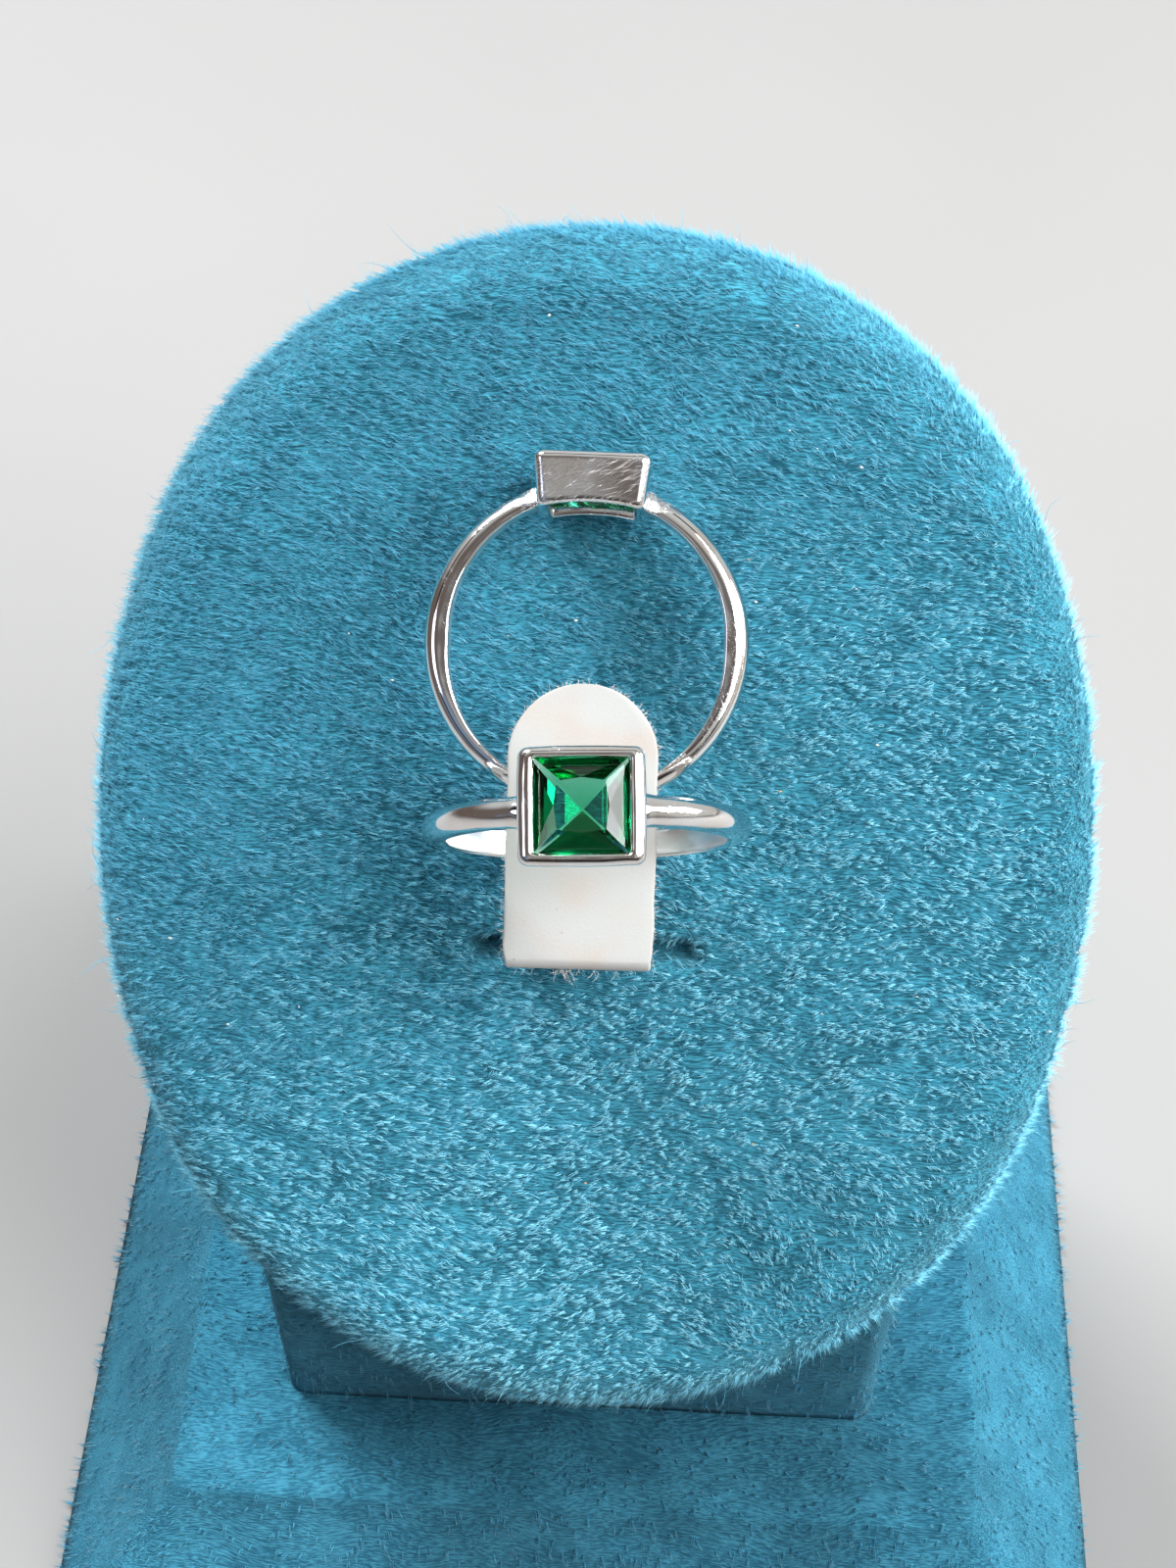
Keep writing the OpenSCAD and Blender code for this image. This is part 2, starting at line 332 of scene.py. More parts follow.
def velvet_backing(name, deep, light, sheen):
    """Short pile seen between the longer fibres: fine streaks along bent lines, with dark clumps, and all of
    it darker where the piece's kept value is low: painted shade, and on the foot streaks of the nap too."""
    f = Finish(name)
    place = f.millimetres()
    bend = f.node("ShaderNodeTexNoise", None, {"Vector": place, "Scale": 0.12, "Detail": 1.0}, "Color")
    bent = f.node("ShaderNodeVectorMath", {"operation": "MULTIPLY_ADD"}, {0: bend, 1: (3, 3, 3), 2: place})
    streaks = f.noise(f.stretched(bent, (1.6, 9, 9)), 1.0, 3.0)
    clumps = f.noise(place, 0.35, 5.0, 0.6)
    share = f.between(clumps * 0.3 + streaks * 0.7, 0.38, 0.64)
    low, high = (f.mixed(share, dye(deep, shade), dye(light, shade)) for shade in (PAINTED_SHADE_SHARE, 1.0))
    return f.done(Base_Color=f.mixed(f.kept("nap_and_shade"), low, high), Roughness=0.9, Specular_IOR_Level=0.15,
                  Sheen_Weight=sheen, Sheen_Roughness=0.4, Sheen_Tint=(0.4, 0.75, 0.85, 1),
                  Normal=f.bump(streaks, 0.2))


def velvet_tone(share):
    """The dye of some of the fibres, from dark at 0 to light at 1, in steps of equal ratio."""
    f = Finish(f"velvet_pile_{round(share * 100)}")
    colour = FIBRE_DARK * (FIBRE_LIGHT / FIBRE_DARK) ** share
    return f.done(Base_Color=dye(colour), Roughness=0.65, Specular_IOR_Level=0.2,
                  Sheen_Weight=0.45, Sheen_Roughness=0.35, Sheen_Tint=(0.5, 0.8, 0.9, 1))


def loose_fibre(name, colour):
    """Plain dull thread or lint."""
    return Finish(name).done(Base_Color=dye(colour), Roughness=0.8, Specular_IOR_Level=0.2)


ANY_WAY = ((0, 0.5, 0.7), (-0.5, 0, 1.2))  # turns that bring two slanting ways on to X
ALONG_WALL = ((0, 0.42, -0.46), (0, 0.18, -0.19))  # the same for two ways along the rear bezel's wall


def silver(name, polish, depth, turns=ANY_WAY, wear=0.42, uneven=0.05, shade=1.0):
    """Metal with thin scratches in two directions where it is worn, a faint grain and slow swells, in a
    colour that warms a little in clouds. polish is the roughness between the scratches, depth that of the
    scratches, wear the noise above which the metal is worn, uneven the depth of the swells and shade how
    light the metal is. turns bring the scratches' directions on to X."""
    f = Finish(name)
    first, second = (f.noise(f.millimetres((0.7, 13, 13), turn), 1.0, 2.0) for turn in turns)
    scratches = f.between(first, 0.54, 0.66) + f.between(second, 0.58, 0.70)
    worn = f.between(f.noise(f.millimetres(), 0.45, 1.0), wear, wear + 0.2)
    grain = f.noise(f.millimetres(), 14.0, 2.0)
    swell = f.noise(f.millimetres(), 0.5, 1.0)
    normal = f.bump(scratches * worn * 0.6 + grain * 0.3, depth, Normal=f.bump(swell, uneven))
    rough = scratches * worn * 0.16 + polish
    warm = f.between(f.noise(f.millimetres(), 0.4, 1.0), 0.45, 0.65)
    colour = f.mixed(warm, dye((0.84, 0.845, 0.85), shade), dye((0.80, 0.755, 0.72), shade))
    return f.done(Base_Color=colour, Metallic=1.0, Roughness=rough, Normal=normal)


def green_stone():
    """Clear polished stone that takes more of the red and blue out of light the longer its way through it
    is: share left = exp(-density * (1 - colour) * way)."""
    f = Finish("green_stone")
    veil = f.noise(f.millimetres(), 1.4, 1.0)
    absorbing = {"Color": dye((0.02, 0.79, 0.62)), "Density": 1050}
    inside = f.node("ShaderNodeVolumeAbsorption", None, absorbing, "Volume")
    f.fill(f.tree.nodes["Material Output"], {"Volume": inside})
    colour = f.mixed(veil, dye((0.72, 0.92, 0.82)), dye((0.82, 0.98, 0.90)))
    return f.done(Base_Color=colour, Roughness=0.0, Transmission_Weight=1.0, IOR=1.57,
                  Specular_IOR_Level=1.0)


def white_leather():
    """White finish with a fine grain, faint warm stains and small dark specks."""
    f = Finish("white_leather")
    place = f.millimetres()
    stain = f.between(f.noise(place, 0.28, 2.0), 0.45, 0.75)
    speck = f.between(f.noise(place, 2.6, 1.0), 0.76, 0.82)
    grain = f.noise(place, 7.0, 3.0)
    colour = f.mixed(stain, dye((0.425, 0.43, 0.415)), dye((0.43, 0.395, 0.365)))
    colour = f.mixed(speck * 0.5, colour, dye((0.25, 0.20, 0.16)))
    return f.done(Base_Color=colour, Roughness=0.7, Specular_IOR_Level=0.25,
                  Normal=f.bump(grain, 0.02, Strength=0.6))


def floor_finish():
    """Plain pale floor."""
    f = Finish("pale_floor")
    share = f.noise(f.millimetres(), 0.02, 1.0)
    colour = f.mixed(share, dye((0.27, 0.27, 0.265)), dye((0.29, 0.29, 0.285)))
    return f.done(Base_Color=colour, Roughness=0.8)


BACKING = velvet_backing("velvet_backing", VELVET_DEEP, VELVET_MID, 0.35)
SOFT_BACKING = velvet_backing("velvet_soft", SOFT_DEEP, SOFT_MID, 0.1)
PILE = [velvet_tone(t) for t in np.linspace(0, 1, TONES)]
SILVER = [
    silver("silver", 0.07, 0.0012),
    silver("silver_inside", 0.28, 0.002),
    silver("solder", 0.26, 0.06, shade=0.72),
    silver("silver_scratched", 0.16, 0.006, ALONG_WALL, wear=0.22, uneven=0.012)]


# The stand's covers
def pad_outline(angles, inset):
    """The pad's oval, drawn in by inset, at each direction of its normal: four arcs that run smoothly into
    each other. The middles of the side arcs lie 12 steps across from the pad's own middle and those of the
    end arcs 5 steps along, so that the arcs meet where the normal is along the line between two middles."""
    step = (PAD_L - PAD_W) / 8
    side_middle, end_middle = 12 * step, 5 * step
    across, up = np.cos(angles), np.sin(angles)
    side = np.abs(up) * 12 < np.abs(across) * 5
    radius = np.where(side, PAD_W / 2 + side_middle, PAD_L / 2 - end_middle) - inset
    x = np.where(side, -side_middle * np.sign(across), 0) + radius * across
    y = np.where(side, 0, end_middle * np.sign(up)) + radius * up
    return x, y


def near_slit(x, y, width):
    """1 on the line of the slit and falling off to 0 over that width on its sides and past its ends."""
    past_end = np.maximum(np.abs(x - SLIT[0]) - SLIT_HALF, 0)
    return np.exp(-((y - SLIT[1]) / width) ** 2 - (past_end / width) ** 2)


def pad_cover():
    """The pad's skin: rows from the middle of the face out to the shoulder, round its quarter circle, down
    the edge and in to the middle of the back. The face is a little uneven, and sinks at the slit."""
    angles = np.linspace(0, 2 * np.pi, 260, endpoint=False)
    bend = np.linspace(0, np.pi / 2, 10)
    shoulder_r, edge_r = SHOULDER - SKIN, BACK_EDGE - SKIN
    # For each row: its share of the outline's size, its inset, its height and how uneven it is
    levels = [(t, SHOULDER, -SKIN, 1) for t in np.linspace(0, 1, 60)[:-1]]
    levels += [(1, SHOULDER - shoulder_r * np.sin(a), shoulder_r * np.cos(a) - SHOULDER, np.cos(a) ** 2)
               for a in bend]
    levels += [(1, BACK_EDGE - edge_r * np.cos(a), BACK_EDGE - PAD_T - edge_r * np.sin(a), 0) for a in bend]
    levels += [(t, BACK_EDGE, SKIN - PAD_T, 0) for t in np.linspace(1, 0, 6)[1:]]
    scale, inset, height, front = np.array(levels).T[..., None]
    x, y = pad_outline(angles, inset)
    x, y = x * scale, y * scale
    spots = np.stack([x, y, np.zeros_like(x)], -1)
    uneven = drift(spots, 9.0, 11, 1)[..., 0] * 0.16 + drift(spots, 3.0, 12, 1)[..., 0] * 0.06
    z = height + front * (uneven - SLIT_DEPTH * near_slit(x, y, SLIT_SOFTNESS))
    flat = np.stack([x, y, z], -1)
    return lathe_like(on_pad(turned(flat, 2, PAD_TURN)))


def block_rows(place, normal, levels):
    """Rows round a square block from a table of its levels: half size, corner radius and height."""
    rows = []
    for half, corner, height in levels:
        flat = (half - corner) * place + corner * normal
        rows.append(np.column_stack([flat, np.full(len(flat), height)]))
    return np.array(rows)


def base_cover():
    """The foot's skin: a square with round corners that narrows along a straight slope from the floor to
    the top. Its top edge is an arc, and its underside is flat up to 6 mm from the lower edge, to which it
    rises a little. The top is uneven by a smooth noise."""
    place, normal = rounded_square(36, 8)
    slope = np.arctan2(BASE_H, (BASE_FOOT - BASE_TOP) / 2)
    underside, lower_edge, top = 0.02, 0.15, BASE_H - SKIN
    flat_half = BASE_TOP / 2 - SKIN - TOP_EDGE
    levels = [(POLE_HALF, 0.01, underside), (BASE_FOOT / 2 - 6, 1, underside)]
    for t in np.linspace(0, 1, 9):
        half = BASE_FOOT / 2 - SKIN - 0.3 - t * (BASE_FOOT - BASE_TOP - 0.6 * TOP_EDGE) / 2
        levels.append((half, FOOT_CORNER, lower_edge + t * (top - TOP_EDGE)))
    for a in np.linspace(slope, 0, 6)[1:]:
        levels.append((flat_half + TOP_EDGE * np.sin(a), TOP_CORNER, top - TOP_EDGE * (1 - np.cos(a))))
    for half in np.linspace(1, 0, 12)[1:-1] * flat_half:
        levels.append((half, min(TOP_CORNER, half * 0.5), top))
    levels.append((POLE_HALF, 0.01, top))
    rows = block_rows(place, normal, levels)
    rows[..., 2] += smooth_step(rows[..., 2], 2, 8) * drift(rows, 12.0, 21, 1)[..., 0] * 0.15
    return lathe_like(rows)


def neck_cover():
    """The post's skin: a square with round corners, straight up to the slanted plane of the pad's back,
    whose height is middle z + ((y - middle y) * sin(tilt) - thickness) / cos(tilt)."""
    place, normal = rounded_square(24, 8)
    half = np.array([NECK_W / 2, (NECK_BACK - NECK_FRONT) / 2]) - SKIN
    middle = np.array([0, (NECK_BACK + NECK_FRONT) / 2])
    ring = (half - NECK_CORNER) * place + NECK_CORNER * normal + middle
    closed = np.tile(middle, (len(ring), 1))
    low = np.full(len(ring), BASE_H - SKIN + 0.17)

    def high(flat):
        rise = (flat[:, 1] - PAD_MIDDLE[1]) * np.sin(PAD_TILT) - PAD_T
        return PAD_MIDDLE[2] + rise / np.cos(PAD_TILT)

    rows = [np.column_stack([closed, low])]
    for t in np.linspace(0, 1, 24):
        rows.append(np.column_stack([ring, low + t * (high(ring) - low)]))
    rows = np.array([*rows, np.column_stack([closed, high(closed)])])
    rows[..., :2] += drift(rows, 10.0, 31, 2) * 0.12
    return lathe_like(rows)


def even_nap(points):
    """Pile that lies the same way everywhere, with no painted shade."""
    return np.ones(len(points))


def foot_nap_and_shade(points):
    """How light the foot's pile is, from 0 to 1: a painted shadow in front of the post and a little painted
    shade along its left edge, with slow streaks of the nap across."""
    x, y = points[:, 0], points[:, 1]
    # painted shadow of the pad, darkest next to the post
    front = smooth_step(-y, 10, 20) * (1.15 - 0.45 * smooth_step(-y, 22, 30))
    front = front * np.exp(-(np.maximum(np.abs(x - 3) - 12, 0) / 11) ** 2)
    streaks = drift(turned(points, 2, 0.5) / (9, 3.5, 9), 1.0, 63, 1)[:, 0]
    return np.clip(0.85 - 0.8 * front - 0.25 * smooth_step(-x, 24, 31) + 0.3 * streaks, 0, 1)


def post_painted_shade(points):
    """How light the post's pile is, from 0 to 1: painted shade on its front under the pad, lighter towards
    its sides.
    """
    front = smooth_step(-points[:, 1], 16, 20.5)
    return 0.9 - front * (0.85 - 0.3 * smooth_step(np.abs(points[:, 0] + 2), 9, 21))


def point_values(mesh, kind):
    """The places, "co", or normals, "normal", of a mesh's points."""
    values = np.empty(3 * len(mesh.vertices), np.float32)
    mesh.vertices.foreach_get(kind, values)
    return values.reshape(-1, 3)


def cover(name, node, shape, finish, nap_and_shade=even_nap):
    """A velvet-covered piece that stands for a solid of the stand, with its nap and painted shade kept on
    its points.
    """
    made = piece(name, *shape, [finish], "velvet")
    kept = made.data.attributes.new("nap_and_shade", "FLOAT", "POINT")
    kept.data.foreach_set("value", nap_and_shade(point_values(made.data, "co") / MM).astype(np.float32))
    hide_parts(node)
    return made


pad = cover("pad_cover", "stand_pad", pad_cover(), BACKING)
base = cover("base_cover", "stand_base", base_cover(), SOFT_BACKING, foot_nap_and_shade)
neck = cover("neck_cover", "stand_neck", neck_cover(), SOFT_BACKING, post_painted_shade)


# The pile
IN_LOCK = 4  # fibres in a lock
LOCK_R = 0.135
ROOT_DEPTH, TIP_SPREAD = 0.05, 0.08
GATHERED = 0.35  # share of a root's offset from its lock's middle that is left at the tip
# SUNK_DARKER: painted shade in the gaps of the pad's marks, and the worn pile's darker colour at its rubbed
# spot
SUNK_SHORTER, SUNK_DARKER = 0.5, 0.55
PATCH_SHADE, LOCK_SHADE, FIBRE_SHADE = 0.09, 0.09, 0.13  # how much patches, locks and fibres differ


def spread_roots(made, count, seed, liking):
    """Random places on a mesh, evenly by area times a liking, a function of place and normal. In a triangle
    a place is a + u * (b - a) + v * (c - a). Returns the places and the normals there."""
    mesh = made.data
    mesh.calc_loop_triangles()
    corners = np.empty(len(mesh.loop_triangles) * 3, np.int32)
    mesh.loop_triangles.foreach_get("vertices", corners)
    corners = corners.reshape(-1, 3)
    co, no = point_values(mesh, "co") / MM, point_values(mesh, "normal")
    a, b, c = (co[corners[:, k]] for k in range(3))
    area = np.linalg.norm(np.cross(b - a, c - a), axis=1)
    weight = area * liking((a + b + c) / 3, no[corners].mean(1))
    rng = np.random.default_rng(seed)
    chosen = rng.choice(len(area), count, p=weight / weight.sum())
    u, v = rng.random((2, count, 1))
    over = u + v > 1
    u, v = np.where(over, 1 - u, u), np.where(over, 1 - v, v)
    picked = corners[chosen]

    def mixed(values):
        return (1 - u - v) * values[picked[:, 0]] + u * values[picked[:, 1]] + v * values[picked[:, 2]]

    return mixed(co), unit(mixed(no))


def three_corners(middles, reach, side, other):
    """The corners of a triangle round each middle, with that reach in the plane of two directions."""
    angles = np.arange(3) * 2 * np.pi / 3
    return [middles + reach * (np.cos(a) * side + np.sin(a) * other) for a in angles]


def pile(name, centres, normals, flow, seed, length=0.78, width=0.022, lean=1.7, longer=1.0, shade=0.5,
         sunk=0.0, contrast=1.0):
    """Fibres as thin spikes with three sides and a closed root, in locks. A lock leans from the normal along
    the flow, way = normal + lean * flow + noise. Its fibres start round its centre and end near each other:
    tip = centre + length * way + gathered * the root's offset + a little chance. longer, shade, sunk and
    contrast are numbers, or one for each lock: where the pile is sunk it is short and dark, the dark
    painted shade in the gaps of the pad's marks and the worn pile's own colour at its rubbed spot."""
    rng = np.random.default_rng(seed)
    locks = len(centres)
    noise = drift(centres, 0.8, seed + 1, 4)
    patch = drift(centres, 7.0, seed + 2, 1)[:, 0]
    way = normals + lean * (1 + 0.35 * noise[:, 3:]) * flow + 0.5 * noise[:, :3]
    way += rng.normal(0, 0.25, (locks, 3))
    way -= normals * np.minimum(0, (way * normals).sum(1, keepdims=True) - 0.3)
    how_long = length * rng.uniform(0.75, 1.25, locks) * longer * (1 - SUNK_SHORTER * sunk)
    reach = unit(way) * how_long[:, None]
    first_side = unit(np.cross(normals, (0.36, 0.48, 0.8)))
    second_side = np.cross(normals, first_side)
    count = locks * IN_LOCK

    def each(values):
        return np.repeat(values, IN_LOCK, 0)

    turn = rng.uniform(0, 2 * np.pi, (count, 1))
    offset = LOCK_R * np.sqrt(rng.random((count, 1))) * (
        np.cos(turn) * each(first_side) + np.sin(turn) * each(second_side))
    roots = each(centres - ROOT_DEPTH * normals) + offset
    tips = each(centres) + each(reach) * rng.uniform(0.65, 1.15, (count, 1)) + GATHERED * offset
    tips += rng.normal(0, TIP_SPREAD, (count, 3))
    along = tips - roots
    side = unit(np.cross(along, each(normals) + 0.01))
    other = unit(np.cross(side, along))
    thick = width * rng.uniform(0.7, 1.3, (count, 1))
    points = np.stack([*three_corners(roots, thick, side, other), tips], 1).reshape(-1, 3)
    first = 4 * np.arange(count)[:, None, None]
    faces = (first + np.array([[2, 1, 0], [0, 1, 3], [1, 2, 3], [2, 0, 3]])).reshape(-1, 3)
    of_lock = shade + contrast * (PATCH_SHADE * patch + rng.normal(0, LOCK_SHADE, locks))
    of_lock = of_lock - SUNK_DARKER * sunk
    tone = each(of_lock) + each(np.broadcast_to(contrast, locks)) * rng.normal(0, FIBRE_SHADE, count)
    tone = np.clip(np.round(tone * (TONES - 1)), 0, TONES - 1)
    piece(name, points, faces, PILE, "velvet", np.repeat(tone, 4))


def down_slope(points):
    """Points of the stand as across and up the pad's slope and away from its face."""
    return turned(points - PAD_MIDDLE, 0, -PAD_TILT)


def laid(flow, normals, ease):
    """A flow laid along the surface, with a length that comes near 1 where it is strong."""
    flow = flow - normals * (flow * normals).sum(1, keepdims=True)
    return flow / (np.linalg.norm(flow, axis=1, keepdims=True) + ease)


def pad_flow(roots, normals):
    """The way the pad's pile is brushed: to the left, turned up the slope by an angle that grows to the
    right and down and swirls in slow waves."""
    slope = down_slope(roots)
    angle = 0.35 + 0.010 * slope[:, 0] - 0.005 * slope[:, 1] + 0.6 * drift(slope, 13.0, 51, 1)[:, 0]
    flow = turned(np.column_stack([-np.cos(angle), np.sin(angle), np.zeros(len(angle))]), 0, PAD_TILT)
    return laid(flow, normals, 0.25)


RUBBED_SPOT, RUBBED_HALF = (7.9, 32.6), (1.3, 1.8)
MARK_TURN, MARK_SIZE = np.radians(26), (0.95, 0.34, 2)


def pad_sunk(slope):
    """How far the pad's pile is sunk, from 0 to 1: short marks that run down to the right, deeper where it
    is ruffled, and a rubbed spot near the top, 0.7 * exp(-(distance / half size) squared)."""
    rubbed = 0.7 * np.exp(-(((slope[:, :2] - RUBBED_SPOT) / RUBBED_HALF) ** 2).sum(1))
    marks = smooth_step(drift(turned(slope, 2, MARK_TURN) / MARK_SIZE, 1.0, 53, 1)[:, 0], 0.08, 0.4)
    return np.maximum(marks * (0.12 + 0.88 * pad_ruffle(slope)), rubbed)


def pad_painted_light(slope):
    """Painted light on the pad's pile, from 0 to 1: most low down and on the right."""
    return smooth_step(slope[:, 0] - 0.9 * slope[:, 1], -38, 32)


def pad_ruffle(slope):
    """How ruffled the pad's pile is, from 0 to 1: more and more down the slope and to the right."""
    return smooth_step(0.45 * slope[:, 0] - 0.75 * slope[:, 1], -26, 16)


def pad_rim_painted_light(slope, on_rim):
    """Painted light that the rim adds to the pile's lightness: a painted sheen, most on the left, and
    painted shade, less than nothing, low down.
    """
    low_rim = smooth_step(-slope[:, 1], 10, 28)
    return on_rim * (0.1 + 0.24 * smooth_step(-slope[:, 0], 5, 25) - 0.32 * low_rim)


def soft_flow(roots, normals):
    """The way the pile of the foot and post is brushed: mostly down and to the front, with slow drifts, and
    straight out round the foot's lower edge."""
    flow = np.array([0, -0.5, -0.8]) + drift(roots, 14.0, 61, 3)
    level = smooth_step(roots[:, 2:], 1.2, 2.6)
    return laid(flow * level + (1 - level) * normals * (2, 2, 0), normals, 0.2)


PAD_NORMAL = np.array([0, -np.sin(PAD_TILT), np.cos(PAD_TILT)])


def pad_front(place, normal):
    """Where the pad's pile grows: the face and the rim, but not in the slit."""
    slope = down_slope(place)
    outside = near_slit(slope[:, 0], slope[:, 1], 0.6) < 0.3
    return smooth_step(normal @ PAD_NORMAL, -1.0, -0.2) * outside


def beside_post(place, margin=0.0):
    """Whether a place lies outside the post's square, drawn in by a margin."""
    x, y = place[:, 0], place[:, 1]
    return (np.abs(x) > NECK_W / 2 - margin) | (y < NECK_FRONT + margin) | (y > NECK_BACK - margin)


def pad_back(place, normal):
    """Where the pile of the pad's back grows: round the post."""
    return smooth_step(-(normal @ PAD_NORMAL), -0.1, 0.5) * beside_post(place, 1)


def base_shown(place, normal):
    """Where the foot's pile grows: not under it or under the post, and thickest round its lower edge."""
    height = place[:, 2]
    return (height > 0.2) * (1 + 2.0 * (height < 1.3)) * (beside_post(place) | (height < BASE_H - 1))


def neck_shown(place, normal):
    """Where the post's pile grows: its four walls."""
    return (np.abs(normal[:, 2]) < 0.5) * 1.0


PAD_PARTS = 4  # meshes that share the pad's pile
LOCKS = 11200  # locks in each of them
for part in range(PAD_PARTS):
    roots, normals = spread_roots(pad, LOCKS, 100 + part, pad_front)
    sunk = pad_sunk(down_slope(roots))
    left = np.random.default_rng(120 + part).random(LOCKS) > 0.7 * sunk
    roots, normals, sunk = roots[left], normals[left], sunk[left]
    slope = down_slope(roots)
    on_rim = 1 - smooth_step(normals @ PAD_NORMAL, 0.1, 0.85)
    # the pile's lightness: a base tone, painted light low down and on the right, and the rim's painted sheen
    # and shade
    shade = 0.46 + 0.47 * pad_painted_light(slope) + pad_rim_painted_light(slope, on_rim)
    pile(f"pad_pile_{part + 1}", roots, normals, pad_flow(roots, normals), 200 + 10 * part,
         longer=1 + 0.2 * on_rim, shade=shade, sunk=sunk, contrast=0.35 + 1.1 * pad_ruffle(slope))

# For each other pile: the cover, how many locks, where they grow, the way they are brushed, how light they
# are in the painted shade and how much lighter elsewhere, and the function of the nap and painted shade
STAND_PILES = {
    "back": (pad, 1500, pad_back, pad_flow, 0.0, 0.35, even_nap),
    "foot": (base, 7000, base_shown, soft_flow, 0.03, 0.44, foot_nap_and_shade),
    "post": (neck, 3000, neck_shown, soft_flow, 0.0, 0.40, post_painted_shade)}
for seed, (label, (made, count, liking, flow, low, more, nap_and_shade)) in enumerate(STAND_PILES.items()):
    roots, normals = spread_roots(made, count, 300 + seed, liking)
    pile(f"{label}_pile", roots, normals, flow(roots, normals), 400 + 10 * seed, 0.8, 0.03,
         shade=low + more * nap_and_shade(roots), contrast=0.25)


# Loose fibres and lint
def thread(name, starts, ways, bends, length, thick, finish, slot):
    """Loose fibres as thin three-sided tubes that thin out to points at both ends, along
    place(t) = start + length * (t * way + t * t * bend + 0.06 sin(7 t) * side)."""
    t = np.linspace(0, 1, 10)[None, :, None]
    ways = unit(ways)
    side = unit(np.cross(ways, bends + 1e-3))
    length = np.broadcast_to(length, len(starts))[:, None, None]
    path = starts[:, None] + length * (
        t * ways[:, None] + t * t * bends[:, None] + 0.06 * np.sin(7 * t) * side[:, None])
    along = unit(np.gradient(path, axis=1))
    other = np.cross(along, side[:, None])
    wide = thick * np.sqrt(np.sin(np.pi * np.clip(t, 0.03, 0.97)))
    rows = np.stack(three_corners(path, wide, side[:, None], other), 2)
    ends = np.stack([path[:, 0] - 0.02 * along[:, 0], path[:, -1] + 0.02 * along[:, -1]], 1)
    count, steps = len(starts), t.shape[1]
    points = np.concatenate([rows.reshape(count, -1, 3), ends], 1)
    faces = repeated(outward(points[0], tube_faces(steps, 3)), 3 * steps + 2, count)
    piece(name, points.reshape(-1, 3), faces, [finish], slot)


def stray_fibres():
    """Longer curled fibres that stand out of the pile, most of them on the pad's rim."""
    rng = np.random.default_rng(501)

    def mostly_rim(place, normal):
        return pad_front(place, normal) * (0.04 + (normal @ PAD_NORMAL < 0.8))

    roots, normals = spread_roots(pad, 280, 500, mostly_rim)
    flow = pad_flow(roots, normals)
    ways = normals + 1.6 * flow + rng.normal(0, 0.5, (len(roots), 3))
    bends = rng.normal(0, 0.45, (len(roots), 3)) - 0.25 * normals
    thread("stray_fibres", roots, ways, bends, rng.uniform(0.9, 2.0, len(roots)), 0.017, PILE[5], "velvet")


def lint():
    """Small pale flakes caught in the pile: octahedra pulled out of shape at random."""
    rng = np.random.default_rng(511)
    roots, normals = spread_roots(pad, 44, 512, pad_front)
    spread = rng.uniform(0.03, 0.14, (len(roots), 1, 3)) * np.array([1, 1, 0.6])
    corners = np.array([(1, 0, 0), (0, 1, 0), (-1, 0, 0), (0, -1, 0), (0, 0, 1), (0, 0, -1)])
    points = (roots + 0.5 * normals)[:, None] + spread * corners + rng.normal(0, 0.02, (len(roots), 6, 3))
    skin = [(0, 1, 4), (1, 2, 4), (2, 3, 4), (3, 0, 4), (1, 0, 5), (2, 1, 5), (3, 2, 5), (0, 3, 5)]
    faces = repeated(skin, 6, len(roots))
    which = np.repeat(rng.random(len(roots)) < 0.25, len(skin))
    finishes = [loose_fibre("pale_lint", (0.62, 0.64, 0.60)), loose_fibre("tan_lint", (0.50, 0.36, 0.20))]
    piece("lint", points.reshape(-1, 3), faces, finishes, "velvet", which)


stray_fibres()
lint()


# The rings
def bore_reach(angle):
    """Distance from the ring's middle to its bore, at an angle from the bezel: two arcs drawn apart, with
    straight sides between them."""
    across, along = np.abs(np.sin(angle)), np.cos(angle)
    centre = np.where(along > 0, BORE_HALF, -BORE_HALF) - BORE_DROP
    arc = centre * along + np.sqrt(BORE_R**2 - (centre * across) ** 2)
    straight = BORE_R / np.maximum(across, 1e-6)
    on_side = (straight * along < BORE_HALF - BORE_DROP) & (straight * along > -BORE_HALF - BORE_DROP)
    return np.where(on_side, straight, arc)


def shank(lumpy):
    """The domed band: a profile with a flat inside, soft inner edges and a half-round crown, carried round
    the ring from one wall of the bezel to the other, with more or less lumpy solder at both ends."""
    last = 2 * np.pi - SHANK_START
    angle = np.linspace(SHANK_START, last, 260)[:, None]
    half, soft = SHANK_W / 2, SHANK_EDGE_R
    bend = np.linspace(np.pi / 2, 0, 5)
    crown = np.linspace(0, np.pi, 25)
    flat = np.linspace(1, -1, 7)[1:-1] * (half - soft)
    edge_up, edge_in = soft * (1 - np.sin(bend)), half - soft * (1 - np.cos(bend))
    # Once round the profile: one soft edge, the crown, the other edge and the flat inside
    up = np.concatenate([edge_up, half * np.sin(crown), edge_up[::-1], np.zeros(len(flat))])
    y = np.concatenate([-edge_in, -half * np.cos(crown), edge_in[::-1], flat])
    on_crown = np.repeat([False, True, False, False], [len(bend), len(crown), len(bend), len(flat)])
    radius = np.where(on_crown, SHANK_R - half, bore_reach(angle)) + up
    radius, y, angle = np.broadcast_arrays(radius, y[None, :], angle)
    points = np.stack([radius * np.sin(angle), y, radius * np.cos(angle)], -1)
    from_end = np.minimum(angle - SHANK_START, last - angle)
    near_end = 1 - smooth_step(from_end, np.radians(3), np.radians(9))
    lumps = drift(points, 0.42, 71, 1)[..., :1]
    away = points - points.mean(1, keepdims=True)
    points = points + away * near_end[..., None] * (0.06 + 0.04 * lumpy + 0.22 * lumpy * lumps)
    points += drift(points, 2.5, 72) * 0.012
    return closed_tube(points)


